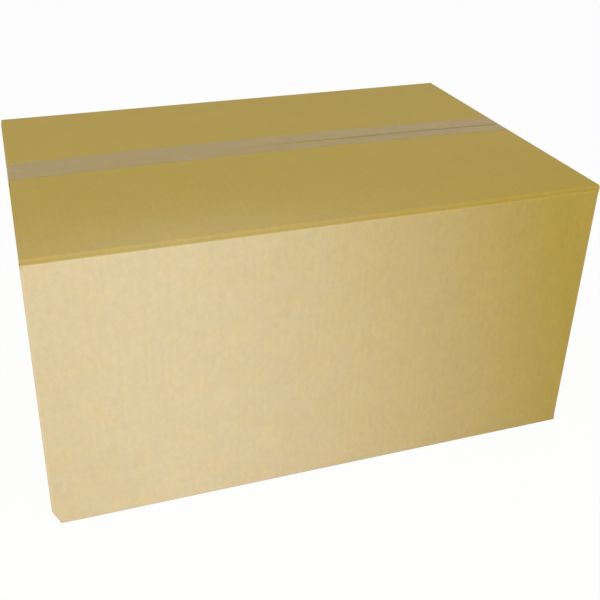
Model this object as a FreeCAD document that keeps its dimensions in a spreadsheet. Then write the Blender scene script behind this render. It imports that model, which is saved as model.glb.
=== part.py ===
import FreeCAD, Part
import math
import os
import Sketcher

# A closed shipping carton: one sheet of corrugated board, folded into four walls and
# eight flaps, shut by a strip of packing tape along the top seam and one along the
# bottom seam. Its length runs along X, its front wall faces -Y and Z points up. The
# origin lies under the middle of the carton, on the surface that it stands on.

# Driving sizes in millimetres: alias, value, meaning.
SIZES = [
    ("length", 600, "outside length of the carton"),
    ("width", 392, "outside width of the carton"),
    ("height", 312, "height over the flaps, measured at the long folds"),
    ("board", 5, "thickness of the corrugated board"),
    ("inner_fold", 0.8, "inside radius of every fold"),
    ("flap_setback", 2, "how far the long flaps stop short of the end walls"),
    ("end_flap_depth", 196, "depth of the four flaps that fold in first"),
    ("end_flap_clearance", 1.5, "clearance of those flaps from the long walls"),
    ("lap_gap", 0.3, "gap between a flap and the flap that lies on it"),
    ("top_seam", 8, "how far the top seam lies behind the middle"),
    ("top_gap_left", 0.6, "gap of the top seam at its left end"),
    ("top_gap_right", 2.2, "gap of the top seam at its right end"),
    ("bottom_gap", 1, "gap of the bottom seam"),
    ("crown", 2.9, "how far the top rises in the middle of its seam"),
    ("lap_width", 35, "width of the glued lap of the upright joint"),
    ("lap_setback", 1, "how far the raw edge at that joint stops short"),
    ("blunt_along", 8.4, "blunted corner: reach along the front edge"),
    ("blunt_back", 22, "blunted corner: reach along the left edge"),
    ("blunt_up", 20, "blunted corner: reach up the wall fold"),
    ("tape_width", 48, "width of the packing tape"),
    ("tape_film", 0.1, "thickness of the tape with its adhesive"),
    ("tape_tail", 60, "length of tape that lies on each end wall"),
    ("tape_left", 13.7, "middle of the top tape behind the middle, left end"),
    ("tape_right", 10.7, "middle of the top tape behind the middle, right end"),
]

doc = FreeCAD.newDocument("carton")
sheet = doc.addObject("Spreadsheet::Sheet", "Sizes")
for row, (alias, size, meaning) in enumerate(SIZES, start=1):
    sheet.set(f"A{row}", meaning)
    sheet.set(f"B{row}", str(size))
    sheet.setAlias(f"B{row}", alias)
doc.recompute()

# Places that follow from the driving sizes, as expressions on the sheet.
END = "(Sizes.length / 2)"
SIDE = "(Sizes.width / 2)"
BOARD = "Sizes.board"
INNER = "Sizes.inner_fold"
OUTER = "(Sizes.board + Sizes.inner_fold)"
FILM = "Sizes.tape_film"
SEAM = "Sizes.top_seam"
# Levels of the outer faces of the long flaps, bottom and top.
FLOOR = FILM
ROOF = f"({FILM} + Sizes.height)"
# A long flap and the gap under it take up this much height over an end flap.
STEP = "(Sizes.board + Sizes.lap_gap)"
# Levels at which the folds of the end walls and of the long walls begin.
END_LOW = f"({FLOOR} + {STEP} + {OUTER})"
END_HIGH = f"({ROOF} - {STEP} - {OUTER})"
LONG_LOW = f"({FLOOR} + {OUTER})"
LONG_HIGH = f"({ROOF} - {OUTER})"
# Half the length of a long flap, and the radius of the arch of the crowned seam.
FLAP_END = f"({END} - Sizes.flap_setback)"
ARCH = f"(({FLAP_END} * {FLAP_END} + Sizes.crown * Sizes.crown) / (2 * Sizes.crown))"
# How far cutting outlines reach past the carton.
BEYOND = "(2 * Sizes.board)"


def value(expression):
    """The present value of an expression on the sheet."""
    return float(sheet.evalExpression(expression))


def arc(start, end, radius, turn):
    """The arc from start to end that turns left (counterclockwise) or right."""
    chord = end - start
    reach = math.sqrt(radius ** 2 - (chord.Length / 2) ** 2)
    across = FreeCAD.Vector(-chord.y, chord.x, 0).normalize()
    if turn == "right":
        start, end, across = end, start, -across
    centre = (start + end) / 2 + across * reach
    circle = Part.Circle(centre, FreeCAD.Vector(0, 0, 1), radius)
    angles = [math.atan2(p.y - centre.y, p.x - centre.x) for p in (start, end)]
    return Part.ArcOfCircle(circle, angles[0], angles[1])


def draw(sketch, corners):
    """
    Adds a closed outline to a sketch. Each corner is (across, up), or
    (across, up, radius, turn) where an arc leads on from it to the next corner.
    Every corner and radius is bound to its expression.
    """
    points = [FreeCAD.Vector(value(c[0]), value(c[1]), 0) for c in corners]
    first = sketch.GeometryCount
    starts = []
    for i, corner in enumerate(corners):
        after = points[(i + 1) % len(points)]
        if len(corner) == 2:
            sketch.addGeometry(Part.LineSegment(points[i], after), False)
            starts.append(1)
        else:
            sketch.addGeometry(arc(points[i], after, value(corner[2]), corner[3]), False)
            starts.append(1 if corner[3] == "left" else 2)
    for i, corner in enumerate(corners):
        edge = first + i
        k = (i + 1) % len(corners)
        sketch.addConstraint(Sketcher.Constraint(
            "Coincident", edge, 3 - starts[i], first + k, starts[k]))
        bind(sketch, Sketcher.Constraint("DistanceX", edge, starts[i], points[i].x), corner[0])
        bind(sketch, Sketcher.Constraint("DistanceY", edge, starts[i], points[i].y), corner[1])
        if len(corner) > 2:
            bind(sketch, Sketcher.Constraint("Radius", edge, value(corner[2])), corner[2])


def bind(sketch, constraint, expression):
    """Adds a constraint whose size follows an expression."""
    index = sketch.addConstraint(constraint)
    sketch.setExpression(f"Constraints[{index}]", expression)


def new_body(label):
    body = doc.addObject("PartDesign::Body", label)
    body.Label = label
    body.Placement = FreeCAD.Placement()
    return body


def new_sketch(body, name, role, outlines, lift="0"):
    """A sketch on an origin plane of the body, moved along the plane's normal by lift."""
    sketch = body.newObject("Sketcher::SketchObject", name)
    plane = [f for f in body.Origin.OriginFeatures if f.Role == role][0]
    sketch.AttachmentSupport = [(plane, "")]
    sketch.MapMode = "FlatFace"
    sketch.setExpression("AttachmentOffset.Base.z", lift)
    for corners in outlines:
        draw(sketch, corners)
    return sketch


def pad(body, name, sketch, length, centred=False):
    """Thickens a sketch along its normal, or to both sides of it."""
    feature = body.newObject("PartDesign::Pad", name)
    feature.Profile = sketch
    feature.SideType = "Symmetric" if centred else "One side"
    feature.setExpression("Length", length)
    return feature


def loft(body, name, start, end):
    """Joins two sketches by straight lines into a solid."""
    feature = body.newObject("PartDesign::AdditiveLoft", name)
    feature.Profile = start
    feature.Sections = [(end, [""])]
    feature.Ruled = True
    return feature


def cut_through(body, name, sketch, upwards):
    """Cuts the outline of a sketch right through what lies over or under it."""
    feature = body.newObject("PartDesign::Pocket", name)
    feature.Profile = sketch
    feature.Type = "ThroughAll"
    feature.Reversed = upwards
    return feature


def wall_ring():
    """
    Section of the four walls, seen from above: the outer face, then the inner one.
    Three corners are folds. At the back right one the end wall folds in to a lap
    that is glued inside the back wall, whose raw edge covers that fold, and the glue
    closes the narrow cleft between them.
    """
    fold = f"({SIDE} - {BOARD} - {OUTER})"
    raw_edge = f"({END} - Sizes.lap_setback)"
    cleft = f"({END} - {OUTER} / 2)"
    outer = [
        (f"-{END} + {OUTER}", f"-{SIDE}"),
        (f"{END} - {OUTER}", f"-{SIDE}", OUTER, "left"),
        (END, f"-{SIDE} + {OUTER}"),
        (END, fold, OUTER, "left"),
        (cleft, f"{fold} + {OUTER} * sqrt(3) / 2"),
        (cleft, f"{SIDE} - {BOARD}"),
        (raw_edge, f"{SIDE} - {BOARD}"),
        (raw_edge, SIDE),
        (f"-{END} + {OUTER}", SIDE, OUTER, "left"),
        (f"-{END}", f"{SIDE} - {OUTER}"),
        (f"-{END}", f"-{SIDE} + {OUTER}", OUTER, "left"),
    ]
    lap_end = f"({END} - {BOARD} - Sizes.lap_width)"
    inner = [
        (f"-{END} + {OUTER}", f"-{SIDE} + {BOARD}"),
        (f"{END} - {OUTER}", f"-{SIDE} + {BOARD}", INNER, "left"),
        (f"{END} - {BOARD}", f"-{SIDE} + {OUTER}"),
        (f"{END} - {BOARD}", fold, INNER, "left"),
        (f"{END} - {OUTER}", f"{SIDE} - 2 * {BOARD}"),
        (lap_end, f"{SIDE} - 2 * {BOARD}"),
        (lap_end, f"{SIDE} - {BOARD}"),
        (f"-{END} + {OUTER}", f"{SIDE} - {BOARD}", INNER, "left"),
        (f"-{END} + {BOARD}", f"{SIDE} - {OUTER}"),
        (f"-{END} + {BOARD}", f"-{SIDE} + {OUTER}", INNER, "left"),
    ]
    return [outer, inner]


def end_flap(side, up):
    """
    Section of one end flap along X: a quarter-round fold that rises (up = 1) or
    drops (up = -1) from the end wall, then the flat flap one board inside.
    """
    turns = ("left", "right") if side * up > 0 else ("right", "left")
    wall = END_HIGH if up > 0 else END_LOW
    face = f"({wall} + {up} * {OUTER})"
    back = f"({face} - {up} * {BOARD})"
    edge = f"{side} * ({END} - Sizes.end_flap_depth)"
    return [
        (f"{side} * {END}", wall, OUTER, turns[0]),
        (f"{side} * ({END} - {OUTER})", face),
        (edge, face),
        (edge, back),
        (f"{side} * ({END} - {OUTER})", back, INNER, turns[1]),
        (f"{side} * ({END} - {BOARD})", wall),
    ]


def long_fold(side):
    """Section of a top fold along Y: the wall above the end walls, then the fold."""
    turns = ("left", "right") if side > 0 else ("right", "left")
    return [
        (f"{side} * {SIDE}", END_HIGH),
        (f"{side} * {SIDE}", LONG_HIGH, OUTER, turns[0]),
        (f"{side} * ({SIDE} - {OUTER})", ROOF),
        (f"{side} * ({SIDE} - {OUTER})", f"{ROOF} - {BOARD}", INNER, turns[1]),
        (f"{side} * ({SIDE} - {BOARD})", LONG_HIGH),
        (f"{side} * ({SIDE} - {BOARD})", END_HIGH),
    ]


def bottom_flap(side):
    """Section of a long bottom flap along Y: wall, fold, and flat flap to the seam."""
    turns = ("right", "left") if side > 0 else ("left", "right")
    seam = f"{side} * Sizes.bottom_gap / 2"
    return [
        (f"{side} * {SIDE}", END_LOW),
        (f"{side} * {SIDE}", LONG_LOW, OUTER, turns[0]),
        (f"{side} * ({SIDE} - {OUTER})", FLOOR),
        (seam, FLOOR),
        (seam, f"{FLOOR} + {BOARD}"),
        (f"{side} * ({SIDE} - {OUTER})", f"{FLOOR} + {BOARD}", INNER, turns[1]),
        (f"{side} * ({SIDE} - {BOARD})", LONG_LOW),
        (f"{side} * ({SIDE} - {BOARD})", END_LOW),
    ]


def layer(body, name, side, low, high):
    """
    A layer between two levels over one half of the top, from the straight long fold
    to the seam, where the crown has raised it into a shallow arch.
    """
    flat = [
        (f"-{FLAP_END}", low),
        (FLAP_END, low),
        (FLAP_END, high),
        (f"-{FLAP_END}", high),
    ]
    arched = [
        (f"-{FLAP_END}", low, ARCH, "right"),
        (FLAP_END, low),
        (FLAP_END, high, ARCH, "left"),
        (f"-{FLAP_END}", high),
    ]
    # The normal of the XZ plane points to -Y, so a lift along it is minus the place.
    fold = new_sketch(body, f"{name}_at_fold", "XZ_Plane", [flat],
                      f"-({side}) * ({SIDE} - {OUTER})")
    seam = new_sketch(body, f"{name}_at_seam", "XZ_Plane", [arched], f"-{SEAM}")
    return loft(body, name, fold, seam)


def blunt_outline():
    """
    Section of what the blunted corner loses, on the outer face of the left end wall.
    Its slanting edge runs from the bottom edge up to the wall fold, and the other
    two sides lie beyond the carton.
    """
    back = "Sizes.blunt_back"
    up = "Sizes.blunt_up"
    return [
        (f"-{SIDE} - {BEYOND}", f"{FLOOR} - {BEYOND}"),
        (f"-{SIDE} + {back} * (1 + {BEYOND} / {up})", f"{FLOOR} - {BEYOND}"),
        (f"-{SIDE} - {BEYOND}", f"{FLOOR} + {up} * (1 + {BEYOND} / {back})"),
    ]


def make_carton():
    """The folded board: walls, end flaps, long flaps, seam gap and blunted corner."""
    body = new_body("carton")
    ring = new_sketch(body, "wall_section", "XY_Plane", wall_ring(), END_LOW)
    pad(body, "walls", ring, f"{END_HIGH} - {END_LOW}")

    flaps = [end_flap(side, up) for side in (-1, 1) for up in (-1, 1)]
    section = new_sketch(body, "end_flap_section", "XZ_Plane", flaps)
    pad(body, "end_flaps", section,
        f"Sizes.width - 2 * {BOARD} - 2 * Sizes.end_flap_clearance", centred=True)

    flaps = [bottom_flap(side) for side in (-1, 1)]
    section = new_sketch(body, "bottom_flap_section", "YZ_Plane", flaps)
    pad(body, "bottom_flaps", section, f"2 * {FLAP_END}", centred=True)

    folds = [long_fold(side) for side in (-1, 1)]
    section = new_sketch(body, "top_fold_section", "YZ_Plane", folds)
    pad(body, "top_folds", section, f"2 * {FLAP_END}", centred=True)
    layer(body, "front_top_flap", -1, f"{ROOF} - {BOARD}", ROOF)
    layer(body, "back_top_flap", 1, f"{ROOF} - {BOARD}", ROOF)

    # The top seam opens a little towards its right end. The cut starts in the gap
    # over the end flaps, so that it parts the long flaps only.
    gap = [
        (f"-{END}", f"{SEAM} - Sizes.top_gap_left / 2"),
        (END, f"{SEAM} - Sizes.top_gap_right / 2"),
        (END, f"{SEAM} + Sizes.top_gap_right / 2"),
        (f"-{END}", f"{SEAM} + Sizes.top_gap_left / 2"),
    ]
    outline = new_sketch(body, "top_seam_outline", "XY_Plane", [gap],
                         f"{ROOF} - {BOARD} - Sizes.lap_gap / 2")
    cut_through(body, "top_seam_gap", outline, upwards=True)

    # The front left bottom corner is knocked flat: the outline on the end wall is
    # carried along the flat, from the bottom edge of that wall to the front edge.
    outline = new_sketch(body, "blunt_outline", "YZ_Plane", [blunt_outline()], f"-{END}")
    corner = cut_through(body, "blunted_corner", outline, upwards=False)
    corner.UseCustomVector = True
    corner.AlongSketchNormal = False
    corner.Direction = FreeCAD.Vector(1, 0, 0)
    corner.setExpression("Direction.x", "Sizes.blunt_along")
    corner.setExpression("Direction.y", "-Sizes.blunt_back")
    return body


def tape_end(side, up):
    """
    Outline of the tape along X where it leaves a long flap's end: from the flap's
    corner it slants out to the end wall's fold and lies on the wall below it.
    """
    flap = ROOF if up > 0 else FLOOR
    fold = END_HIGH if up > 0 else END_LOW
    meet = f"({fold} + {up} * {OUTER} / 2)"
    tail = f"({meet} - {up} * Sizes.tape_tail)"
    return [
        (f"{side} * {FLAP_END}", flap),
        (f"{side} * {END}", meet),
        (f"{side} * {END}", tail),
        (f"{side} * ({END} + {FILM})", tail),
        (f"{side} * ({END} + {FILM})", meet),
        (f"{side} * ({FLAP_END} + {FILM})", f"{flap} + {up} * {FILM}"),
        (f"{side} * {FLAP_END}", f"{flap} + {up} * {FILM}"),
    ]


def make_top_tape():
    """The top tape lies on the crowned flaps across their seam, slightly askew."""
    body = new_body("top_tape")
    layer(body, "front_half", -1, ROOF, f"{ROOF} + {FILM}")
    layer(body, "back_half", 1, ROOF, f"{ROOF} + {FILM}")

    half = "Sizes.tape_width / 2"
    around = [
        (f"-{END} - {BEYOND}", f"-{SIDE} - {BEYOND}"),
        (f"{END} + {BEYOND}", f"-{SIDE} - {BEYOND}"),
        (f"{END} + {BEYOND}", f"{SIDE} + {BEYOND}"),
        (f"-{END} - {BEYOND}", f"{SIDE} + {BEYOND}"),
    ]
    strip = [
        (f"-{FLAP_END}", f"Sizes.tape_left - {half}"),
        (FLAP_END, f"Sizes.tape_right - {half}"),
        (FLAP_END, f"Sizes.tape_right + {half}"),
        (f"-{FLAP_END}", f"Sizes.tape_left + {half}"),
    ]
    outline = new_sketch(body, "strip_outline", "XY_Plane", [around, strip],
                         f"{ROOF} - {BOARD}")
    cut_through(body, "strip", outline, upwards=True)

    for side, name, place in ((-1, "left", "Sizes.tape_left"), (1, "right", "Sizes.tape_right")):
        section = new_sketch(body, f"{name}_end_section", "XZ_Plane",
                             [tape_end(side, 1)], f"-{place}")
        pad(body, f"{name}_end", section, "Sizes.tape_width", centred=True)
    return body


def make_bottom_tape():
    """The bottom tape lies under the seam and is the part's resting face."""
    body = new_body("bottom_tape")
    right = tape_end(1, -1)
    left = tape_end(-1, -1)
    # Both ends in one outline: up the right end and down it, then the left end's.
    whole = right[:-1] + left[:-1][::-1]
    section = new_sketch(body, "strip_section", "XZ_Plane", [whole])
    pad(body, "strip", section, "Sizes.tape_width", centred=True)
    return body


parts = [make_carton(), make_top_tape(), make_bottom_tape()]
doc.recompute()

for thing in doc.Objects:
    if any(word in thing.State for word in ("Invalid", "Error")):
        raise RuntimeError(f"{thing.Name} failed: {thing.State}")
for part in parts:
    if part.Shape.isNull() or not part.Shape.isValid():
        raise RuntimeError(f"{part.Label} has no valid shape")
    if len(part.Shape.Solids) != 1:
        raise RuntimeError(f"{part.Label} is not one solid")

os.makedirs("parts", exist_ok=True)
for part in parts:
    part.Shape.exportStep(f"parts/{part.Label}.step")
    box = part.Shape.BoundBox
    print(part.Label, "volume", round(part.Shape.Volume, 1), "box",
          [round(v, 3) for v in (box.XMin, box.YMin, box.ZMin, box.XMax, box.YMax, box.ZMax)])
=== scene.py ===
import math

import bpy
import numpy as np
from mathutils import Matrix, Vector


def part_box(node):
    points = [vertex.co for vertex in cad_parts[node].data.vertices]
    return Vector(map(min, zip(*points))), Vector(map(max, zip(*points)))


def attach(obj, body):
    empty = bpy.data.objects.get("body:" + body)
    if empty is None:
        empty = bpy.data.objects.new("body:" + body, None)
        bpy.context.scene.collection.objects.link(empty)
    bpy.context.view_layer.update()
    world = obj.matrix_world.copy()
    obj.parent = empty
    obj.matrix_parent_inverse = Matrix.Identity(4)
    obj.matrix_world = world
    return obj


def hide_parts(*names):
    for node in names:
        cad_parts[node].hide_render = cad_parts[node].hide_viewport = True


bl_info = {
    "name": "Closed Carton",
    "version": (1, 0, 0),
    "blender": (4, 5, 0),
    "location": "View3D > Sidebar > Carton",
    "description": "Dresses a closed shipping carton and its packing tape, and sets its stage",
    "category": "Object",
}

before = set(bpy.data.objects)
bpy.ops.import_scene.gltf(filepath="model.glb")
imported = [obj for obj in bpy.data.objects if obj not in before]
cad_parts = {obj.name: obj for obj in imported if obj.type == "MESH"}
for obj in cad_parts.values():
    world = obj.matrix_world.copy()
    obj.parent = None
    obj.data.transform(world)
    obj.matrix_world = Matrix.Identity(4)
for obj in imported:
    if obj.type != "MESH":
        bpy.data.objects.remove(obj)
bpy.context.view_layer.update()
MM = 0.001

# The carton's outer sizes come from the frame. Its box is measured over the outer
# faces, and the roof level is taken at the long folds, below the crown of the seam.
LOW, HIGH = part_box("carton")
FLOOR_LEVEL = LOW.z
HALF_LENGTH = HIGH.x
HALF_WIDTH = HIGH.y

# How finely the carton is drawn: the spacing of its grid, the closer spacing near the
# ends and the foot of each wall and how far that reaches, the spacing from a wall to
# a flap's fold, the rows of a flap past its fold, and the steps of a quarter round.
COARSE = 14 * MM
FINE = 2.5 * MM
FINE_REACH = 35 * MM
RISE_SPACING = 0.8 * MM
FLAP_ROWS = 24
FOLD_STEPS = 8
# An edge is drawn sharp where its two faces meet at a larger angle than this.
SHARP_ANGLE = math.radians(35)
# A noise texture's values lie mostly in this range, which each pattern spreads out.
NOISE_RANGE = {"From Min": 0.3, "From Max": 0.7}


class CartonSizes(bpy.types.PropertyGroup):
    board: bpy.props.FloatProperty(
        name="Board", description="Thickness of the corrugated board",
        default=5 * MM, unit="LENGTH")
    liner: bpy.props.FloatProperty(
        name="Liner", description="Thickness of the paper on each face of the board",
        default=0.35 * MM, unit="LENGTH")
    inner_fold: bpy.props.FloatProperty(
        name="Inner fold", description="Inside radius of every fold",
        default=0.8 * MM, unit="LENGTH")
    crease: bpy.props.FloatProperty(
        name="Crease", description="How far under the roof the score line of a long top flap shows",
        default=6 * MM, unit="LENGTH")
    outer_fold: bpy.props.FloatProperty(
        name="Outer fold", description="Outside radius of every fold, which is pressed sharp",
        default=2.6 * MM, unit="LENGTH")
    flap_setback: bpy.props.FloatProperty(
        name="Flap set-back", description="How far the long flaps stop short of the end walls",
        default=0.8 * MM, unit="LENGTH")
    end_flap_depth: bpy.props.FloatProperty(
        name="End flap depth", description="Depth of the flaps that fold in first",
        default=196 * MM, unit="LENGTH")
    end_flap_clearance: bpy.props.FloatProperty(
        name="End flap clearance", description="Clearance of those flaps from the long walls",
        default=1.5 * MM, unit="LENGTH")
    lap_gap: bpy.props.FloatProperty(
        name="Lap gap", description="Gap between a flap and the flap that lies on it",
        default=0.3 * MM, unit="LENGTH")
    crown: bpy.props.FloatProperty(
        name="Crown", description="How far the top rises in the middle of its seam",
        default=2.9 * MM, unit="LENGTH")
    top_seam: bpy.props.FloatProperty(
        name="Top seam", description="How far the top seam lies behind the middle",
        default=8 * MM, unit="LENGTH")
    top_gap_left: bpy.props.FloatProperty(
        name="Seam gap, left", description="Gap of the top seam at its left end",
        default=0.6 * MM, unit="LENGTH")
    top_gap_right: bpy.props.FloatProperty(
        name="Seam gap, right", description="Gap of the top seam at its right end",
        default=2.2 * MM, unit="LENGTH")
    bottom_gap: bpy.props.FloatProperty(
        name="Bottom gap", description="Gap of the bottom seam",
        default=1 * MM, unit="LENGTH")
    lap_width: bpy.props.FloatProperty(
        name="Lap width", description="Width of the glued lap of the upright joint",
        default=35 * MM, unit="LENGTH")
    lap_setback: bpy.props.FloatProperty(
        name="Lap set-back", description="How far the raw edge at that joint stops short",
        default=1 * MM, unit="LENGTH")
    blunt_along: bpy.props.FloatProperty(
        name="Blunt, along", description="Reach of the blunted corner along the front edge",
        default=8.4 * MM, unit="LENGTH")
    blunt_back: bpy.props.FloatProperty(
        name="Blunt, back", description="Reach of the blunted corner along the left edge",
        default=22 * MM, unit="LENGTH")
    blunt_up: bpy.props.FloatProperty(
        name="Blunt, up", description="Reach of the blunted corner up the wall fold",
        default=20 * MM, unit="LENGTH")
    slack: bpy.props.FloatProperty(
        name="Slack", description="How far the panels give inwards between their folds",
        default=0.5 * MM, unit="LENGTH")


class TapeSizes(bpy.types.PropertyGroup):
    width: bpy.props.FloatProperty(
        name="Width", description="Width of the packing tape",
        default=48 * MM, unit="LENGTH")
    film: bpy.props.FloatProperty(
        name="Film", description="Thickness of the tape with its adhesive",
        default=0.1 * MM, unit="LENGTH")
    tail: bpy.props.FloatProperty(
        name="Tail", description="Length of tape that lies on each end wall",
        default=60 * MM, unit="LENGTH")
    left: bpy.props.FloatProperty(
        name="Left", description="Middle of the top tape behind the middle at its left end",
        default=13.7 * MM, unit="LENGTH")
    right: bpy.props.FloatProperty(
        name="Right", description="Middle of the top tape behind the middle at its right end",
        default=10.7 * MM, unit="LENGTH")
    tooth: bpy.props.FloatProperty(
        name="Tooth", description="Pitch of the teeth that the dispenser cuts",
        default=1.6 * MM, unit="LENGTH")


def linear(hex_colour):
    """The linear red, green, blue and alpha of an sRGB colour written as #rrggbb."""
    channels = [int(hex_colour[i:i + 2], 16) / 255 for i in (1, 3, 5)]
    light = [c / 12.92 if c <= 0.04045 else ((c + 0.055) / 1.055) ** 2.4 for c in channels]
    return (*light, 1.0)


class BoardFinish(bpy.types.PropertyGroup):
    liner: bpy.props.FloatVectorProperty(
        name="Kraft liner", description="Colour of the board's face",
        default=linear("#a9903b"), size=4, subtype="COLOR")
    # Painted highlight: this paler colour stands in for the glare of the light on the front wall's
    # left part and the top's front edge.
    painted_glare_colour: bpy.props.FloatVectorProperty(
        name="Faded liner", description="Colour where the front wall has paled",
        default=linear("#d9c7a1"), size=4, subtype="COLOR")
    # Lightens the folds and score lines: partly rubbed liner, partly a painted highlight along
    # them.
    rubbed_and_highlighted: bpy.props.FloatProperty(
        name="Rubbed", description="How much lighter the folds and score lines are rubbed",
        default=0.13, min=0.0, max=1.0, subtype="FACTOR")
    cut_edge: bpy.props.FloatVectorProperty(
        name="Cut edge", description="Colour of the board's cut edges",
        default=linear("#a98b57"), size=4, subtype="COLOR")
    fluting: bpy.props.FloatProperty(
        name="Flute pitch", description="Distance from one flute of the board to the next",
        default=8.5 * MM, unit="LENGTH")


class TapeFinish(bpy.types.PropertyGroup):
    film: bpy.props.FloatVectorProperty(
        name="Film", description="Colour of the tape's film and adhesive",
        default=linear("#bba262"), size=4, subtype="COLOR")
    cover: bpy.props.FloatProperty(
        name="Cover", description="How much of the board the film hides",
        default=0.5, min=0.0, max=1.0, subtype="FACTOR")
    # Painted shade: how far the film is darkened over the open seam, standing in for the shadow in
    # the groove.
    seam: bpy.props.FloatProperty(
        name="Seam", description="How dark the film is over the open seam",
        default=0.75, min=0.0, max=1.0, subtype="FACTOR")


class StageSettings(bpy.types.PropertyGroup):
    azimuth: bpy.props.FloatProperty(
        name="Azimuth", description="Camera's angle round the carton, negative to its left",
        default=math.radians(-17.67), subtype="ANGLE")
    elevation: bpy.props.FloatProperty(
        name="Elevation", description="Camera's angle over the horizon",
        default=math.radians(26.77), subtype="ANGLE")
    roll: bpy.props.FloatProperty(
        name="Roll", description="Camera's turn about its own axis",
        default=math.radians(0.60), subtype="ANGLE")
    place: bpy.props.FloatVectorProperty(
        name="Place", description="Camera's place",
        default=(-0.2974, -0.8967, 0.6730), size=3, subtype="TRANSLATION", unit="LENGTH")
    lens: bpy.props.FloatProperty(
        name="Lens", description="Focal length on a 36 mm wide sensor, in millimetres",
        default=52.01, unit="CAMERA")
    shift: bpy.props.FloatVectorProperty(
        name="Shift", description="Shift that the photograph's framing needs",
        default=(0.0592, -0.1026), size=2, subtype="COORDINATES")
    floor: bpy.props.FloatVectorProperty(
        name="Floor", description="Colour of the floor and backdrop",
        default=linear("#f2f1ee"), size=4, subtype="COLOR")
    white: bpy.props.FloatProperty(
        name="White", description="How far the floor is drawn white instead of lit",
        default=0.94, min=0.0, max=1.0, subtype="FACTOR")
    sky: bpy.props.FloatProperty(
        name="Sky", description="Strength of the even light from all round",
        default=0.64, min=0.0, subtype="FACTOR")
    key_place: bpy.props.FloatVectorProperty(
        name="Key place", description="Place of the key lamp",
        default=(-0.98, -2.2, 2.49), size=3, subtype="TRANSLATION", unit="LENGTH")
    key_size: bpy.props.FloatProperty(
        name="Key size", description="Width of the key lamp's square face",
        default=1.2, unit="LENGTH")
    key_power: bpy.props.FloatProperty(
        name="Key power", description="Power of the key lamp",
        default=54.0, unit="POWER")


class CartonSettings(bpy.types.PropertyGroup):
    sizes: bpy.props.PointerProperty(
        name="Sizes", description="Sizes of the folded board", type=CartonSizes)
    tape: bpy.props.PointerProperty(
        name="Tape", description="Sizes and places of the tapes", type=TapeSizes)
    board_finish: bpy.props.PointerProperty(
        name="Board finish", description="Colours, wear and flutes of the board",
        type=BoardFinish)
    tape_finish: bpy.props.PointerProperty(
        name="Tape finish", description="Colour and cover of the film", type=TapeFinish)
    stage: bpy.props.PointerProperty(
        name="Stage", description="Camera, floor and light", type=StageSettings)


def levels(sizes):
    """
    Named places that follow from the sizes: the level of the roof at the long folds,
    the levels at which the walls end, how far each kind of flap reaches past its
    wall, and how far from the middle the long flaps end.
    """
    roof = HIGH.z - sizes.crown
    step = sizes.board + sizes.lap_gap
    bend = sizes.board + sizes.inner_fold
    return {
        "roof": roof,
        "end_low": FLOOR_LEVEL + step + bend,
        "end_high": roof - step - bend,
        "end_rise": bend,
        "long_rise": step + bend,
        "flap_end": HALF_LENGTH - sizes.flap_setback,
    }


def crown_rise(x, y, sizes):
    """
    Rise of the top flaps: an arch along the seam that is full in the middle and
    none at the flap ends, and falls in a straight line from the seam to each fold.
    """
    arch = 1 - (x / levels(sizes)["flap_end"]) ** 2
    fold = HALF_WIDTH - sizes.outer_fold
    back = (fold - y) / (fold - sizes.top_seam)
    front = (fold + y) / (fold + sizes.top_seam)
    return sizes.crown * np.clip(arch, 0, 1) * np.clip(np.minimum(back, front), 0, 1)


def smooth_step(x, low, high):
    """0 up to low, 1 from high on, and a smooth rise between them."""
    share = np.clip((x - low) / (high - low), 0, 1)
    return share * share * (3 - 2 * share)


def stations(start, end, spacing):
    """Places from start to end, both included, about spacing apart."""
    return np.linspace(start, end, max(2, round(abs(end - start) / spacing) + 1))


def waves(points, pitch, seed):
    """
    Smooth unevenness, mostly from -1 to 1: the sum of eight sine waves, 0.7 to 1.6
    times pitch long and divided by half their number, whose directions, lengths and
    phases come from a seeded generator.
    """
    count, shortest, longest = 8, 0.7, 1.6
    draw = np.random.default_rng(seed)
    ways = draw.normal(size=(count, 3))
    ways /= np.linalg.norm(ways, axis=1, keepdims=True)
    ways *= 2 * math.pi / (pitch * draw.uniform(shortest, longest, size=(count, 1)))
    phases = draw.uniform(0, 2 * math.pi, count)
    return np.sin(points @ ways.T + phases).sum(-1) / (count / 2)


def uneven(points, pitch, seed):
    """The same unevenness, held between 0 and 1."""
    return 0.5 + 0.5 * np.clip(waves(points, pitch, seed), -1, 1)


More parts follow.
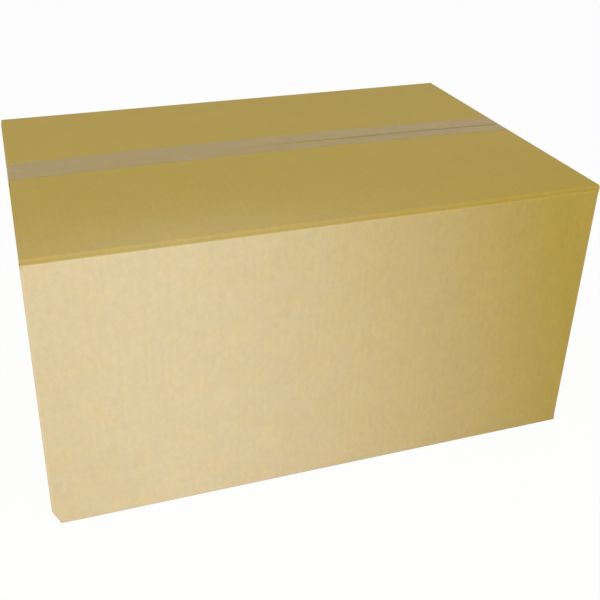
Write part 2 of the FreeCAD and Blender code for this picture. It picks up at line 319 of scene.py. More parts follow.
class Sheet:
    """
    A thick sheet, gathered from patches. Each patch gives the points of its outer
    face on a grid, whose columns crossed with its rows point outwards, and the
    matching points of its inner face. Points that patches share are joined.
    """

    def __init__(self):
        self.parts = {"outer": [], "inner": [], "along": [], "wear_and_highlight": []}
        self.quads = []
        self.count = 0

    def add(self, outer, inner, along=0, wear_and_highlight=0):
        """Adds a patch, with how far round the sheet it lies and its rubbing and painted highlight.
        """
        rows, columns = outer.shape[:2]
        index = np.arange(rows * columns).reshape(rows, columns) + self.count
        self.quads.append(np.stack(
            [index[:-1, :-1], index[:-1, 1:], index[1:, 1:], index[1:, :-1]], -1).reshape(-1, 4))
        self.count += rows * columns
        self.parts["outer"].append(outer.reshape(-1, 3))
        self.parts["inner"].append(inner.reshape(-1, 3))
        for name, values in (("along", along), ("wear_and_highlight", wear_and_highlight)):
            self.parts[name].append(np.broadcast_to(values, (rows, columns)).reshape(-1))

    def join(self):
        """Merges the points whose outer places round to the same ones."""
        closeness = 0.01 * MM
        whole = {name: np.concatenate(parts) for name, parts in self.parts.items()}
        keys = np.round(whole["outer"] / closeness).astype(np.int64)
        _, first, back = np.unique(keys, axis=0, return_index=True, return_inverse=True)
        self.parts = {name: values[first] for name, values in whole.items()}
        self.quads = back.reshape(-1)[np.concatenate(self.quads)]

    def move(self, inwards):
        """Moves both faces inwards by an amount at each point."""
        step = self.parts["inner"] - self.parts["outer"]
        step = step / np.linalg.norm(step, axis=1, keepdims=True) * inwards[:, None]
        self.parts["outer"] = self.parts["outer"] + step
        self.parts["inner"] = self.parts["inner"] + step

    def free_edges(self):
        """
        The edges that only one quad has, as point pairs in that quad's order, and
        the number of each one's quad.
        """
        edges = np.concatenate([self.quads[:, [k, (k + 1) % 4]] for k in range(4)])
        owner = np.tile(np.arange(len(self.quads)), 4)
        keys = np.sort(edges, axis=1)
        _, back, times = np.unique(keys, axis=0, return_inverse=True, return_counts=True)
        free = times[back.reshape(-1)] == 1
        return edges[free], owner[free]

    def solid(self, rim):
        """
        Points, quads and material slots of the closed sheet, and which points of a
        face lie on a free edge. rim lists stations through the thickness as (share
        of the depth, how far the edge lies back).
        """
        outer, inner = self.parts["outer"], self.parts["inner"]
        count = len(outer)
        edges, owner = self.free_edges()
        on_edge = np.unique(edges)
        # The way from a free edge into the sheet: from each edge point to the middle
        # of the quads beside it, without its part along the thickness.
        middle = outer[self.quads].mean(1)[owner]
        into = np.zeros_like(outer)
        for k in range(2):
            np.add.at(into, edges[:, k], middle - outer[edges].mean(1))
        through = inner - outer
        through /= np.linalg.norm(through, axis=1, keepdims=True)
        into -= (into * through).sum(1, keepdims=True) * through
        into = into[on_edge]
        shortest = 1e-9
        into /= np.maximum(np.linalg.norm(into, axis=1, keepdims=True), shortest)

        points = [outer, inner]
        rank = np.zeros(count, int)
        rank[on_edge] = np.arange(len(on_edge))
        rings = [edges]
        for k, (share, back) in enumerate(rim):
            place = outer[on_edge] + share * (inner[on_edge] - outer[on_edge]) + back * into
            points.append(place)
            rings.append(rank[edges] + 2 * count + k * len(on_edge))
        rings.append(edges + count)
        walls = [np.stack([a[:, 1], a[:, 0], b[:, 0], b[:, 1]], -1)
                 for a, b in zip(rings[:-1], rings[1:])]
        quads = np.concatenate([self.quads, self.quads[:, ::-1] + count, *walls])
        # Both faces take the first material, and the cut edges take the second.
        slots = np.zeros(len(quads), int)
        slots[2 * len(self.quads):] = 1
        return np.concatenate(points), quads, slots, on_edge

    def values(self, name, rim, on_edge):
        """A value of the points, repeated for the inner face and the rim."""
        values = self.parts[name]
        return np.concatenate([values, values] + [values[on_edge]] * len(rim))


def make_object(name, points, quads, slots, materials, attributes):
    """A mesh object with its materials and a value at each point per attribute."""
    mesh = bpy.data.meshes.new(name)
    mesh.from_pydata(points.tolist(), [], quads.tolist())
    for material in materials:
        mesh.materials.append(material)
    mesh.polygons.foreach_set("material_index", slots.astype(np.int32))
    mesh.polygons.foreach_set("use_smooth", np.ones(len(quads), bool))
    for key, values in attributes.items():
        layer = mesh.attributes.new(key, "FLOAT", "POINT")
        layer.data.foreach_set("value", np.ascontiguousarray(values, np.float32))
    mesh.set_sharp_from_angle(angle=SHARP_ANGLE)
    if mesh.validate():
        raise RuntimeError(f"{name} has faces that Blender had to mend")
    mesh.update()
    thing = bpy.data.objects.new(name, mesh)
    bpy.context.scene.collection.objects.link(thing)
    return thing


def fold_path(share, straight, radius):
    """
    Places at shares of the length of a straight and the quarter round that follows
    it, as (along the straight, off it).
    """
    way = share * (straight + radius * math.pi / 2)
    turn = np.clip((way - straight) / radius, 0, math.pi / 2)
    return np.minimum(way, straight) + np.sin(turn) * radius, (1 - np.cos(turn)) * radius


def flap_rows(total, reach, depth, sizes):
    """
    Rows of a flap, from its wall to its free edge, at a depth under the outer face:
    how far each point lies past the wall, and inwards of it. The flap's outer face
    lies total past the wall, and its free edge is at reach inwards.
    """
    radius = sizes.inner_fold if depth else sizes.outer_fold
    # The stations are set on the outer face, and the inner face takes the same shares.
    rise = total - sizes.outer_fold
    quarter = sizes.outer_fold * math.pi / 2
    share = np.concatenate([stations(0, rise, RISE_SPACING)[:-1],
                            rise + quarter * np.linspace(0, 1, FOLD_STEPS + 1)])
    share /= rise + quarter
    past, inwards = fold_path(share, total - depth - radius, radius)
    flat = np.linspace(0, 1, FLAP_ROWS + 1)[1:, None]
    start = depth + radius
    inwards = np.concatenate([inwards[:, None] + depth + 0 * reach,
                              start + flat * (reach - start)])
    past = np.concatenate([past, np.full(len(flat), total - depth)])[:, None] + 0 * inwards
    return past, inwards


class Panel:
    """
    One wall of the carton with its flaps. Its outer face runs along a direction in
    plan, with the inside on its left. wall and flap are the stretches along it that
    each takes up, and flaps past the wall follow the rounding of the corner. folds
    says of each end of the wall whether it goes on into a fold.
    """

    def __init__(self, origin, way, wall, folds, flap=None):
        self.origin = np.array([*origin, 0.0])
        self.way = np.array([*way, 0.0])
        self.inwards = np.array([-way[1], way[0], 0.0])
        self.wall, self.folds, self.flap = wall, folds, flap
        ends = [*wall, *(flap or ())]
        inner = stations(max(ends[::2]), min(ends[1::2]), COARSE)
        near_ends = [stations(end, end - math.copysign(FINE_REACH, end), FINE)
                     for end in wall]
        # Rounded to a ten thousandth of a millimetre, so that equal places are one.
        self.columns = np.unique(np.round(np.concatenate([ends, inner, *near_ends]), 7))

    def between(self, ends):
        """The columns from one end of a stretch to the other."""
        allowed = 0.0001 * MM
        return self.columns[(self.columns > ends[0] - allowed)
                            & (self.columns < ends[1] + allowed)]

    def points(self, along, inwards, height):
        """Points by their place along the panel, inwards of its outer face and up."""
        along, inwards, height = np.broadcast_arrays(along, inwards, height)
        return (self.origin + along[..., None] * self.way + inwards[..., None] * self.inwards
                + height[..., None] * np.array([0, 0, 1.0]))

    def drawn_in(self, along, depth, sizes):
        """
        Places along the wall at a depth: the inner face is shorter than the outer
        one, because its folds lie further from the corner. The difference is taken
        up smoothly over a stretch from each fold.
        """
        if not depth:
            return along
        stretch = 20 * MM
        step = depth + sizes.inner_fold - sizes.outer_fold
        shift = 0 * along
        for end, is_fold in zip(self.wall, self.folds):
            off = np.abs(along - end)
            shift += is_fold * math.copysign(step, -end) * (1 - smooth_step(off, 0, stretch))
        return along + shift


def make_sheet(sizes):
    """
    The folded blank, in order round the carton: back wall, left end, front wall,
    right end and lap, with the flaps of each wall. A wall is a straight line in plan
    carried upwards, and the fold after it is a quarter round carried upwards.
    """
    level = levels(sizes)
    board = sizes.board
    flat_long = HALF_LENGTH - sizes.outer_fold
    flat_end = HALF_WIDTH - sizes.outer_fold
    long_flap = level["flap_end"]
    end_flap = HALF_WIDTH - board - sizes.end_flap_clearance
    both = (True, True)
    panels = [
        Panel((0, HALF_WIDTH), (-1, 0), (sizes.lap_setback - HALF_LENGTH, flat_long),
              (False, True), (-long_flap, long_flap)),
        Panel((-HALF_LENGTH, 0), (0, -1), (-flat_end, flat_end), both, (-end_flap, end_flap)),
        Panel((0, -HALF_WIDTH), (1, 0), (-flat_long, flat_long), both, (-long_flap, long_flap)),
        Panel((HALF_LENGTH, 0), (0, 1), (-flat_end, flat_end - board), both,
              (-end_flap, end_flap)),
        Panel((0, HALF_WIDTH - board), (-1, 0),
              (-flat_long, sizes.lap_width + board - HALF_LENGTH), (True, False)),
    ]
    near = level["end_low"] + FINE_REACH
    heights = np.concatenate([stations(level["end_low"], near, FINE)[:-1],
                              stations(near, level["end_high"], COARSE)])
    # The corner folds reach on past the walls' ends, up to where the slots begin.
    slot = level["end_rise"]
    tall = np.concatenate([[heights[0] - slot], heights, [heights[-1] + slot]])[:, None]
    heights = heights[:, None]
    turns = np.linspace(0, math.pi / 2, FOLD_STEPS + 1)
    sheet = Sheet()
    passed = 0.0
    for panel in panels:
        columns = panel.between(panel.wall)
        start = passed - columns[0]
        faces = [panel.points(panel.drawn_in(columns, depth, sizes), depth, heights)
                 for depth in (0, board)]
        sheet.add(*faces, columns + start)
        if panel.flap:
            columns = panel.between(panel.flap)
            # The long walls run along X.
            is_long = bool(panel.way[0])
            for top in (False, True):
                add_flap(sheet, panel, columns, start, top, is_long, sizes)
        passed += panel.wall[1] - panel.wall[0]
        if panel.folds[1]:
            corner = panel.wall[1] + sizes.outer_fold
            faces = []
            for depth, radius in ((0, sizes.outer_fold), (board, sizes.inner_fold)):
                centre = depth + radius
                faces.append(panel.points(corner - centre + np.sin(turns) * radius,
                                          centre - np.cos(turns) * radius, tall))
            # The corner folds are lightened most at their middle, partly as rubbing and partly as a
            # painted highlight.
            sheet.add(*faces, passed + turns * sizes.outer_fold, np.sin(2 * turns))
            passed += sizes.outer_fold * math.pi / 2
    sheet.join()
    return sheet


def add_flap(sheet, panel, columns, start, top, is_long, sizes):
    """
    Adds the top or bottom flap of a panel: the rows of a flap at each column, on the
    outer and on the inner face. The crown lifts a long top flap, and its score line
    is lightened in a bell curve across the crease: partly rubbed liner, partly a
    painted highlight.
    """
    level = levels(sizes)
    crease_width = 0.9 * MM
    if not is_long:
        reach = sizes.end_flap_depth + 0 * columns
    elif not top:
        reach = HALF_WIDTH - sizes.bottom_gap / 2 + 0 * columns
    else:
        x = columns * panel.way[0]
        share = (x + HALF_LENGTH) / (2 * HALF_LENGTH)
        gap = sizes.top_gap_left + share * (sizes.top_gap_right - sizes.top_gap_left)
        reach = HALF_WIDTH + panel.way[0] * sizes.top_seam - gap / 2
    total = level["long_rise"] if is_long else level["end_rise"]
    # Where a flap reaches past its wall, it starts on the round of the corner fold
    # and straightens out towards its own fold.
    over = np.maximum(columns - panel.wall[1], panel.wall[0] - columns)
    # It stops short of the whole quarter round, where the fold turns too steep.
    over = np.clip(over, 0, 0.95 * sizes.outer_fold)
    inset = sizes.outer_fold - np.sqrt(sizes.outer_fold ** 2 - over ** 2)
    faces = []
    for depth in (0, sizes.board):
        past, inwards = flap_rows(total, reach, depth, sizes)
        if not depth:
            # The score line's rubbing and painted highlight: a bell curve across the crease.
            off_crease = past - (total - sizes.crease)
            wear_and_highlight = is_long * top * np.exp(-(off_crease / crease_width) ** 2)
        inwards = inwards + inset * (1 - smooth_step(past, 0, total - sizes.outer_fold))
        height = level["end_high"] + past if top else level["end_low"] - past
        along = columns
        if depth:
            # At the wall's end the inner face keeps the wall's own places.
            wide = panel.drawn_in(columns, depth, sizes)
            along = wide + (columns - wide) * smooth_step(past, 0, total)
        place = panel.points(along, inwards, height)
        if top and is_long:
            place[..., 2] += crown_rise(place[..., 0], place[..., 1], sizes)
        faces.append(place if top else place[::-1])
    sheet.add(*faces, columns + start, wear_and_highlight if top else wear_and_highlight[::-1])


def give(points, sizes):
    """
    How far the panels give inwards: a slow unevenness up to the slack. It is none
    near a fold, and full from some way off the nearest fold.
    """
    stiff, free = 6 * MM, 70 * MM
    pitch = 220 * MM
    off_ends = HALF_LENGTH - np.abs(points[:, 0])
    off_sides = HALF_WIDTH - np.abs(points[:, 1])
    off_levels = np.minimum(points[:, 2] - FLOOR_LEVEL, HIGH.z - points[:, 2])
    off_fold = np.sort(np.stack([off_ends, off_sides, off_levels]), axis=0)[1]
    return sizes.slack * smooth_step(off_fold, stiff, free) * uneven(points, pitch, seed=3)


def knock_corner(sheet, sizes):
    """
    Flattens the front left bottom corner: points beyond a plane through its three
    reaches are pushed back onto it, and the board round it is creased unevenly.
    """
    crushed = 0.6 * sizes.board
    creased, smooth = 12 * MM, 42 * MM
    crease_pitch, crease_depth = 11 * MM, 0.7 * MM
    corner = np.array([-HALF_LENGTH, -HALF_WIDTH, FLOOR_LEVEL])
    normal = 1 / np.array([sizes.blunt_along, sizes.blunt_back, sizes.blunt_up])
    depth = 1 / np.linalg.norm(normal)
    normal = normal * depth
    # The board is crushed there, so the inner face stays that much deeper.
    for name, deeper in (("outer", 0), ("inner", crushed)):
        points = sheet.parts[name]
        away = (points - corner) @ normal
        near = 1 - smooth_step(np.linalg.norm(points - corner, axis=1), creased, smooth)
        crease = crease_depth * near * uneven(points, crease_pitch, seed=8)
        push = np.clip(depth + deeper - away, 0, None) + crease
        sheet.parts[name] = points + normal * push[:, None]


def node(tree, kind, settings=None, inputs=None):
    """
    Adds a node with its settings. Each input is named or numbered, and is given a
    value or an output socket to link.
    """
    made = tree.nodes.new(kind)
    for key, value in (settings or {}).items():
        setattr(made, key, value)
    for key, value in (inputs or {}).items():
        if isinstance(value, bpy.types.NodeSocket):
            tree.links.new(value, made.inputs[key])
        else:
            made.inputs[key].default_value = value
    return made


def new_material(name):
    """A material with an empty node tree."""
    material = bpy.data.materials.new(name)
    material.use_nodes = True
    material.node_tree.nodes.clear()
    return material


def kraft_liner(finish):
    """
    Kraft liner of corrugated board: unbleached pulp, pressed dry on a machine. It
    gives the eye a matt brown face with cloudy formation and short fibres, through
    which the flutes show faintly as upright stripes.
    """
    material = new_material("kraft_liner")
    tree = material.node_tree
    place = node(tree, "ShaderNodeTexCoord").outputs["Object"]
    # Cloudy formation of the pulp, about 30 mm across, flocs of 6 mm that the machine
    # has drawn out a little, and single fibres, drawn as coarse as they need to show.
    drawn = node(tree, "ShaderNodeMapping", {}, {"Vector": place, "Scale": (1.0, 1.0, 0.75)})
    cloud = node(tree, "ShaderNodeTexNoise", {}, {
        "Vector": place, "Scale": 1 / (30 * MM), "Detail": 3.0, "Roughness": 0.55})
    floc = node(tree, "ShaderNodeTexNoise", {}, {
        "Vector": drawn.outputs[0], "Scale": 1 / (6 * MM), "Detail": 3.0, "Roughness": 0.55})
    fibre = node(tree, "ShaderNodeTexNoise", {}, {
        "Vector": place, "Scale": 1 / (1.2 * MM), "Detail": 2.0, "Roughness": 0.5})
    # The pulp's hue drifts a little too, over some 25 mm. Sockets 7 to 10 are the
    # vector forms of From Min, From Max, To Min and To Max.
    drift = node(tree, "ShaderNodeTexNoise", {}, {
        "Vector": place, "Scale": 1 / (25 * MM), "Detail": 2.0, "Roughness": 0.5})
    hue = node(tree, "ShaderNodeMapRange", {"data_type": "FLOAT_VECTOR"}, {
        "Vector": drift.outputs["Fac"], 7: (0.3, 0.3, 0.3), 8: (0.7, 0.7, 0.7),
        9: (0.985, 1.0, 1.04), 10: (1.015, 1.0, 0.96)})
    # Flutes: stripes that follow the way round the carton.
    along = node(tree, "ShaderNodeAttribute", {"attribute_name": "along"})
    phase = node(tree, "ShaderNodeMath", {"operation": "MULTIPLY"}, {
        0: along.outputs["Fac"], 1: 2 * math.pi / finish.fluting})
    flute = node(tree, "ShaderNodeMath", {"operation": "SINE"}, {0: phase.outputs[0]})
    painted_glare = node(tree, "ShaderNodeAttribute", {"attribute_name": "painted_glare"})
    wear_and_highlight = node(tree, "ShaderNodeAttribute", {"attribute_name": "wear_and_highlight"})

    # Painted highlight: the liner's colour is mixed towards the paler one where the glare of the
    # light falls.
    base = node(tree, "ShaderNodeMix", {"data_type": "RGBA", "clamp_factor": False}, {
        "Factor": painted_glare.outputs["Fac"], "A": tuple(finish.liner), "B": tuple(finish.painted_glare_colour)})
    # Folds and score lines are drawn lighter: partly rubbed liner, partly a painted highlight.
    shade = node(tree, "ShaderNodeMath", {"operation": "MULTIPLY_ADD"}, {
        0: wear_and_highlight.outputs["Fac"], 1: finish.rubbed_and_highlighted, 2: 1.0}).outputs[0]
    for source, low, high in ((cloud.outputs["Fac"], 0.985, 1.015),
                              (floc.outputs["Fac"], 0.965, 1.035),
                              (fibre.outputs["Fac"], 0.98, 1.02)):
        step = node(tree, "ShaderNodeMapRange", {}, {
            "Value": source, **NOISE_RANGE, "To Min": low, "To Max": high})
        shade = node(tree, "ShaderNodeMath", {"operation": "MULTIPLY"}, {
            0: shade, 1: step.outputs["Result"]}).outputs[0]
    stripes = node(tree, "ShaderNodeMapRange", {}, {
        "Value": flute.outputs[0], "From Min": -1.0, "From Max": 1.0,
        "To Min": 0.994, "To Max": 1.006})
    shade = node(tree, "ShaderNodeMath", {"operation": "MULTIPLY"}, {
        0: shade, 1: stripes.outputs["Result"]}).outputs[0]
    tinted = node(tree, "ShaderNodeVectorMath", {"operation": "MULTIPLY"}, {
        0: base.outputs["Result"], 1: hue.outputs["Vector"]})
    colour = node(tree, "ShaderNodeVectorMath", {"operation": "SCALE"}, {
        0: tinted.outputs[0], "Scale": shade})

    relief = node(tree, "ShaderNodeMath", {"operation": "MULTIPLY_ADD"}, {
        0: fibre.outputs["Fac"], 1: 0.35, 2: floc.outputs["Fac"]})
    grain = node(tree, "ShaderNodeBump", {}, {
        "Strength": 0.25, "Distance": 0.1 * MM, "Height": relief.outputs[0]})
    board = node(tree, "ShaderNodeBump", {}, {
        "Strength": 0.3, "Distance": 0.05 * MM, "Height": flute.outputs[0],
        "Normal": grain.outputs["Normal"]})
    rough = node(tree, "ShaderNodeMapRange", {}, {
        "Value": floc.outputs["Fac"], **NOISE_RANGE, "To Min": 0.55, "To Max": 0.68})
    shader = node(tree, "ShaderNodeBsdfPrincipled", {}, {
        "Base Color": colour.outputs[0], "Roughness": rough.outputs["Result"],
        "IOR": 1.5, "Specular IOR Level": 0.15, "Normal": board.outputs["Normal"]})
    node(tree, "ShaderNodeOutputMaterial", {}, {"Surface": shader.outputs[0]})
    return material


def cut_board(finish):
    """
    Cut edge of corrugated board: torn pulp without its smooth face, so it is duller
    and a little darker than the liner, with short fibres.
    """
    material = new_material("cut_corrugated_board")
    tree = material.node_tree
    place = node(tree, "ShaderNodeTexCoord").outputs["Object"]
    fibre = node(tree, "ShaderNodeTexNoise", {}, {
        "Vector": place, "Scale": 1 / (1.5 * MM), "Detail": 4.0, "Roughness": 0.7})
    shade = node(tree, "ShaderNodeMapRange", {}, {
        "Value": fibre.outputs["Fac"], **NOISE_RANGE, "To Min": 0.8, "To Max": 1.15})
    colour = node(tree, "ShaderNodeVectorMath", {"operation": "SCALE"}, {
        0: tuple(finish.cut_edge)[:3], "Scale": shade.outputs["Result"]})
    bump = node(tree, "ShaderNodeBump", {}, {
        "Strength": 0.6, "Distance": 0.3 * MM, "Height": fibre.outputs["Fac"]})
    shader = node(tree, "ShaderNodeBsdfPrincipled", {}, {
        "Base Color": colour.outputs[0], "Roughness": 0.85, "IOR": 1.45,
        "Normal": bump.outputs["Normal"]})
    node(tree, "ShaderNodeOutputMaterial", {}, {"Surface": shader.outputs[0]})
    return material


def packing_film(finish):
    """
    Packing tape: clear polypropylene film with its adhesive. It gives the eye a
    greyer, slightly glossy band through which the board shows, darkened over the seam as painted
    shade.
    """
    material = new_material("polypropylene_tape")
    tree = material.node_tree
    place = node(tree, "ShaderNodeTexCoord").outputs["Object"]
    # Streaks of the adhesive, 4 mm across and drawn out along the strip, and blisters
    # of some 9 mm under the film.
    drawn = node(tree, "ShaderNodeMapping", {}, {"Vector": place, "Scale": (0.08, 1.0, 1.0)})
    streak = node(tree, "ShaderNodeTexNoise", {}, {
        "Vector": drawn.outputs[0], "Scale": 1 / (4 * MM), "Detail": 3.0, "Roughness": 0.6})
    blister = node(tree, "ShaderNodeTexNoise", {}, {
        "Vector": place, "Scale": 1 / (9 * MM), "Detail": 3.0, "Roughness": 0.6})
    mixed = node(tree, "ShaderNodeMath", {"operation": "ADD"}, {
        0: streak.outputs["Fac"], 1: blister.outputs["Fac"]})
    shade = node(tree, "ShaderNodeMapRange", {}, {
        "Value": mixed.outputs[0], "From Min": 0.7, "From Max": 1.3,
        "To Min": 0.95, "To Max": 1.05})
    # Painted shade: the film is darkened over the open seam, standing in for the shadow in the
    # groove under it.
    gap = node(tree, "ShaderNodeAttribute", {"attribute_name": "gap"})
    seam_shade = node(tree, "ShaderNodeMapRange", {}, {
        "Value": gap.outputs["Fac"], "To Min": 1.0, "To Max": 1 - finish.seam})
    shade = node(tree, "ShaderNodeMath", {"operation": "MULTIPLY"}, {
        0: shade.outputs["Result"], 1: seam_shade.outputs["Result"]})
    colour = node(tree, "ShaderNodeVectorMath", {"operation": "SCALE"}, {
        0: tuple(finish.film)[:3], "Scale": shade.outputs[0]})
    # Over the open seam the film is also drawn more opaque, which carries the painted shade
    # further.
    cover = node(tree, "ShaderNodeMapRange", {}, {
        "Value": gap.outputs["Fac"], "To Min": finish.cover, "To Max": 0.9})
    bump = node(tree, "ShaderNodeBump", {}, {
        "Strength": 0.4, "Distance": 0.15 * MM, "Height": mixed.outputs[0]})
    shader = node(tree, "ShaderNodeBsdfPrincipled", {}, {
        "Base Color": colour.outputs[0], "Roughness": 0.32, "IOR": 1.5,
        "Alpha": cover.outputs["Result"], "Normal": bump.outputs["Normal"]})
    node(tree, "ShaderNodeOutputMaterial", {}, {"Surface": shader.outputs[0]})
    return material


def painted_glare_of(points, sizes):
    """
    Painted highlight: where the glare of the light on the liner is painted in as a
    paler colour. On the front wall a quarter wave falls from full at the left to a
    trace at the right end, reaches further right at the foot, and is weaker at the
    very left. The painted glare goes some way round the fold onto the left end wall.
    Above the score line it is slight, with a bell curve more along the front edge left
    of the middle, and it fades out towards the front right corner.
    """
    x, y, z = points.T
    level = levels(sizes)
    # A wall's painted glare is full within a skin at its face, and none deeper than its fold.
    skin = 1 * MM
    front = smooth_step(-y, HALF_WIDTH - sizes.outer_fold, HALF_WIDTH - skin)
    side = smooth_step(-x, HALF_LENGTH - sizes.outer_fold, HALF_LENGTH - skin)

    # The quarter wave, in half lengths of the carton from its left end.
    lean, lead, length, power = 0.27, 0.09, 2.06, 1.12
    tilt = lean * (z / level["roof"] - 0.5)
    share = np.clip((x / HALF_LENGTH + 1 + lead + tilt) / length, 0, 1)
    least, weaker = 0.03, 0.15
    along = least + (1 - least) * np.cos(share * math.pi / 2) ** power
    left_part = smooth_step(x, -HALF_LENGTH, -0.5 * HALF_LENGTH)
    along = along * (1 - weaker + weaker * left_part)
    on_side = 0.6
    round_fold = on_side * (1 - smooth_step(y, -HALF_WIDTH, -0.5 * HALF_WIDTH))
    under = np.maximum(front * along, side * round_fold)

    # Above the score line.
    crease = level["roof"] - sizes.crease
    above = smooth_step(z, crease - 0.4 * MM, crease + 1 * MM)
    slight, most = 0.05, 0.17
    middle, half_length, half_depth = -160 * MM, 190 * MM, 60 * MM
    corner = smooth_step(x, 0, HALF_LENGTH) * smooth_step(-y, 0, HALF_WIDTH)
    trace = most * np.exp(-((x - middle) / half_length) ** 2
                          - ((y + HALF_WIDTH) / half_depth) ** 2)
    return (1 - above) * under + above * (slight * (1 - corner) + trace)


class CARTON_OT_fold_board(bpy.types.Operator):
    """Fold the corrugated board into the closed carton"""

    bl_idname = "carton.fold_board"
    bl_label = "Fold board"

    def execute(self, context):
        settings = context.scene.carton
        sizes = settings.sizes
        sheet = make_sheet(sizes)
        # Painted highlight: the share of the paler colour that stands in for the glare of the
        # light.
        painted_glare = painted_glare_of(sheet.parts["outer"], sizes)
        sheet.parts["painted_glare"] = painted_glare
        # The folds' rubbing and painted highlight show less where the painted glare already
        # lightens the liner.
        hidden = 0.7 * np.clip(painted_glare, 0, 1)
        sheet.parts["wear_and_highlight"] = sheet.parts["wear_and_highlight"] * (1 - hidden)
        sheet.move(give(sheet.parts["outer"], sizes))
        knock_corner(sheet, sizes)
        # Through a cut edge: the outer liner, the hollow of the flutes, the inner liner.
        share = sizes.liner / sizes.board
        hollow = 0.8 * MM
        rim = [(share, 0), (share, hollow), (1 - share, hollow), (1 - share, 0)]
        points, quads, slots, on_edge = sheet.solid(rim)
        values = {name: sheet.values(name, rim, on_edge) for name in ("along", "wear_and_highlight", "painted_glare")}
        finish = settings.board_finish
        carton = make_object("carton_board", points, quads, slots,
                             [kraft_liner(finish), cut_board(finish)], values)
        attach(carton, "root")
        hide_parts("carton")
        return {"FINISHED"}


def rounded(corners, reach, steps):
    """
    A line through corners whose inner ones are rounded: each becomes the curve that
    is drawn to its two sides, starting and ending at reach from it.
    """
    line = [corners[0]]
    for before, corner, after in zip(corners, corners[1:], corners[2:]):
        first = corner + (before - corner) * reach / np.linalg.norm(before - corner)
        last = corner + (after - corner) * reach / np.linalg.norm(after - corner)
        share = np.linspace(0, 1, steps)[:, None]
        line.extend((1 - share) ** 2 * first + 2 * share * (1 - share) * corner + share ** 2 * last)
    line.append(corners[-1])
    return np.array(line)


def tape_line(offset, up, sizes, tape):
    """
    Line of the tape in the XZ plane at an offset from the board: from the tail on
    the left end wall, over the flap end, along the flap and down the right end. Its
    right half is worked out and mirrored.
    """
    bend_reach, bend_steps = 0.6 * MM, 4
    flat_steps, tail_steps = 60, 16
    level = levels(sizes)
    flap = (level["roof"] if up > 0 else FLOOR_LEVEL) + up * offset
    fold = level["end_high"] if up > 0 else level["end_low"]
    meet = fold + up * level["end_rise"] / 2
    bends = rounded(np.array([
        [0.0, flap],
        [level["flap_end"] + offset, flap],
        [HALF_LENGTH + offset, meet],
        [HALF_LENGTH + offset, meet - up * tape.tail],
    ]), bend_reach, bend_steps)[1:-1]
    flat = np.stack([np.linspace(0, bends[0, 0], flat_steps), np.full(flat_steps, flap)], -1)
    tail = np.stack([np.full(tail_steps, bends[-1, 0]),
                     np.linspace(bends[-1, 1], meet - up * tape.tail, tail_steps)], -1)
    right = np.concatenate([flat[:-1], bends, tail[1:]])
    left = right[::-1] * [-1, 1]
    return np.concatenate([left[:-1], right])


def lay_tape(name, up, sizes, tape, film_material):
    """
    A strip of tape: a line along the carton, carried across its width. The film
    follows the board's give, dips a little into the open seam in a bell curve, and
    its ends are cut in teeth.
    """
    # The film stands off the board by a hair, so that the two faces never coincide,
    # and its outer face lies as much further in, so that it stays within its place.
    hair = 0.01 * MM
    points_per_tooth = 4
    across = stations(-tape.width / 2, tape.width / 2, tape.tooth / points_per_tooth)[:, None]
    left, right = (tape.left, tape.right) if up > 0 else (0.0, 0.0)
    faces = []
    for offset in (tape.film - hair, hair):
        line = tape_line(offset, up, sizes, tape)
        share = np.clip((line[:, 0] / levels(sizes)["flap_end"] + 1) / 2, 0, 1)
        y = left + share * (right - left) + up * across
        x = line[:, 0] + 0 * y
        z = line[:, 1] + 0 * y
        if up > 0:
            z = z + crown_rise(x, y, sizes)
        # The teeth of the cut: a zigzag along both ends.
        zigzag = np.abs((across[:, 0] / tape.tooth) % 1 - 0.5) * tape.tooth
        z[:, 0] += up * zigzag
        z[:, -1] += up * zigzag
        faces.append(np.stack([x, y, z], -1))
    sheet = Sheet()
    sheet.add(*faces)
    sheet.join()
    place = sheet.parts["outer"]
    sink = give(place, sizes)
    gap = np.zeros(len(place))
    if up > 0:
        # The seam opens towards the right, where the film sags into it a little. The same bell
        # curve marks where the film is darkened as painted shade.
        sag = 0.3 * MM
        roof = levels(sizes)["roof"]
        on_top = smooth_step(place[:, 2], roof - 4 * MM, roof)
        opened = smooth_step(place[:, 0], -0.15 * HALF_LENGTH, 0.3 * HALF_LENGTH)
        off_seam = place[:, 1] - sizes.top_seam
        gap = on_top * opened * np.exp(-(off_seam / sizes.top_gap_right) ** 2)
        sink = sink + sag * gap
    sheet.parts["gap"] = gap
    sheet.move(sink)
    # The film is one material, cut edges and all.
    points, quads, slots, on_edge = sheet.solid([])
    strip = make_object(name + "_film", points, quads, 0 * slots, [film_material],
                        {"gap": sheet.values("gap", [], on_edge)})
    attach(strip, "root")
    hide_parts(name)


class CARTON_OT_lay_tapes(bpy.types.Operator):
    """Lay the packing tape along the top and bottom seams"""

    bl_idname = "carton.lay_tapes"
    bl_label = "Lay tapes"

    def execute(self, context):
        settings = context.scene.carton
        film = packing_film(settings.tape_finish)
        lay_tape("top_tape", 1, settings.sizes, settings.tape, film)
        lay_tape("bottom_tape", -1, settings.sizes, settings.tape, film)
        return {"FINISHED"}


def seen_by(tree, *kinds):
    """A socket that is 1 for rays of any of the kinds, and 0 for the others."""
    rays = node(tree, "ShaderNodeLightPath").outputs
    seen = rays[kinds[0]]
    for kind in kinds[1:]:
        seen = node(tree, "ShaderNodeMath", {"operation": "MAXIMUM"}, {
            0: seen, 1: rays[kind]}).outputs[0]
    return seen


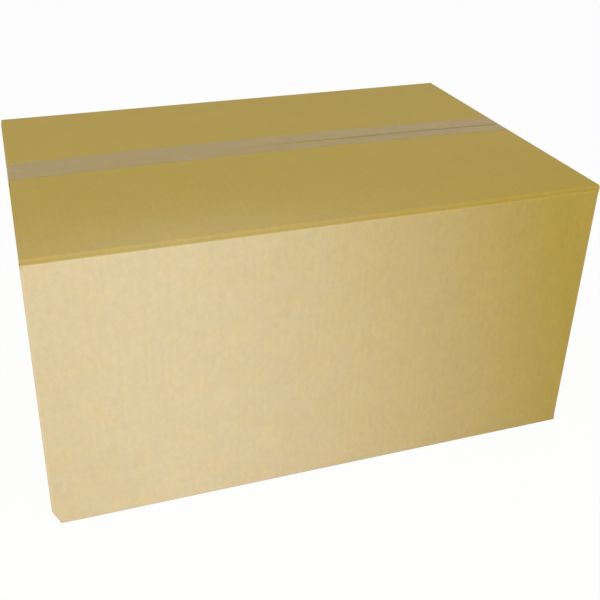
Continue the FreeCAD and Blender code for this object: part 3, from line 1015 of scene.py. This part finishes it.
def stage_paper(colour, whiteness):
    """
    Pale paper sweep: matt, and white to the camera and in reflections, while it
    keeps the carton's soft shadow.
    """
    material = new_material("stage_paper")
    tree = material.node_tree
    seen = seen_by(tree, "Is Camera Ray", "Is Glossy Ray", "Is Transmission Ray")
    share = node(tree, "ShaderNodeMath", {"operation": "MULTIPLY"}, {0: seen, 1: whiteness})
    paper = node(tree, "ShaderNodeBsdfDiffuse", {}, {"Color": tuple(colour)})
    white = node(tree, "ShaderNodeEmission", {}, {"Color": (1, 1, 1, 1), "Strength": 1.0})
    mixed = node(tree, "ShaderNodeMixShader", {}, {
        0: share.outputs[0], 1: paper.outputs[0], 2: white.outputs[0]})
    node(tree, "ShaderNodeOutputMaterial", {}, {"Surface": mixed.outputs[0]})
    return material


def set_world(strength):
    """An even pale sky, white to the camera and in reflections."""
    world = bpy.data.worlds.new("studio")
    world.use_nodes = True
    tree = world.node_tree
    tree.nodes.clear()
    sky = node(tree, "ShaderNodeBackground", {}, {"Color": (1, 1, 1, 1), "Strength": strength})
    white = node(tree, "ShaderNodeBackground", {}, {"Color": (1, 1, 1, 1), "Strength": 1.0})
    mixed = node(tree, "ShaderNodeMixShader", {}, {
        0: seen_by(tree, "Is Camera Ray", "Is Glossy Ray"),
        1: sky.outputs[0], 2: white.outputs[0]})
    node(tree, "ShaderNodeOutputWorld", {}, {"Surface": mixed.outputs[0]})
    bpy.context.scene.world = world


def add_lamp(name, place, target, size, power):
    """A square soft white lamp that faces a target. Power is in watts."""
    data = bpy.data.lights.new(name, "AREA")
    data.shape = "SQUARE"
    data.size = size
    data.energy = power
    lamp = bpy.data.objects.new(name, data)
    lamp.location = place
    lamp.rotation_euler = (Vector(target) - Vector(place)).to_track_quat("-Z", "Y").to_euler()
    lamp.visible_camera = False
    bpy.context.scene.collection.objects.link(lamp)


class CARTON_OT_set_stage(bpy.types.Operator):
    """Set the floor, the soft light and the camera"""

    bl_idname = "carton.set_stage"
    bl_label = "Set stage"

    def execute(self, context):
        stage = context.scene.carton.stage
        scene = context.scene
        scene.view_settings.view_transform = "Standard"
        set_world(stage.sky)
        reach = 20.0
        below = -0.1 * MM
        mesh = bpy.data.meshes.new("floor")
        mesh.from_pydata([(-reach, -reach, below), (reach, -reach, below),
                          (reach, reach, below), (-reach, reach, below)], [], [(0, 1, 2, 3)])
        mesh.materials.append(stage_paper(stage.floor, stage.white))
        floor = bpy.data.objects.new("floor", mesh)
        scene.collection.objects.link(floor)

        aim = (0, 0, 150 * MM)
        add_lamp("key", stage.key_place, aim, stage.key_size, stage.key_power)

        camera = bpy.data.cameras.new("camera")
        camera.sensor_width = 36
        camera.lens = stage.lens
        camera.shift_x, camera.shift_y = stage.shift
        camera.clip_start = 10 * MM
        holder = bpy.data.objects.new("camera", camera)
        # Azimuth 0 looks along +Y. The camera is tipped up from looking straight
        # down, turned to its azimuth, and rolled about its own axis.
        turn = (Matrix.Rotation(stage.azimuth, 3, "Z")
                @ Matrix.Rotation(math.pi / 2 - stage.elevation, 3, "X")
                @ Matrix.Rotation(stage.roll, 3, "Z"))
        holder.matrix_world = Matrix.Translation(stage.place) @ turn.to_4x4()
        scene.collection.objects.link(holder)
        scene.camera = holder
        return {"FINISHED"}


class CARTON_PT_panel(bpy.types.Panel):
    """Lists the steps that dress the carton"""

    bl_label = "Carton"
    bl_space_type = "VIEW_3D"
    bl_region_type = "UI"
    bl_category = "Carton"

    def draw(self, context):
        for step in (CARTON_OT_fold_board, CARTON_OT_lay_tapes, CARTON_OT_set_stage):
            self.layout.operator(step.bl_idname)


CLASSES = (
    CartonSizes, TapeSizes, BoardFinish, TapeFinish, StageSettings, CartonSettings,
    CARTON_OT_fold_board, CARTON_OT_lay_tapes, CARTON_OT_set_stage, CARTON_PT_panel,
)


def register():
    for kind in CLASSES:
        bpy.utils.register_class(kind)
    bpy.types.Scene.carton = bpy.props.PointerProperty(
        name="Carton", description="Settings of the closed carton", type=CartonSettings)


def unregister():
    del bpy.types.Scene.carton
    for kind in reversed(CLASSES):
        bpy.utils.unregister_class(kind)


def main():
    register()
    bpy.ops.carton.fold_board()
    bpy.ops.carton.lay_tapes()
    bpy.ops.carton.set_stage()


if __name__ == "__main__":
    main()
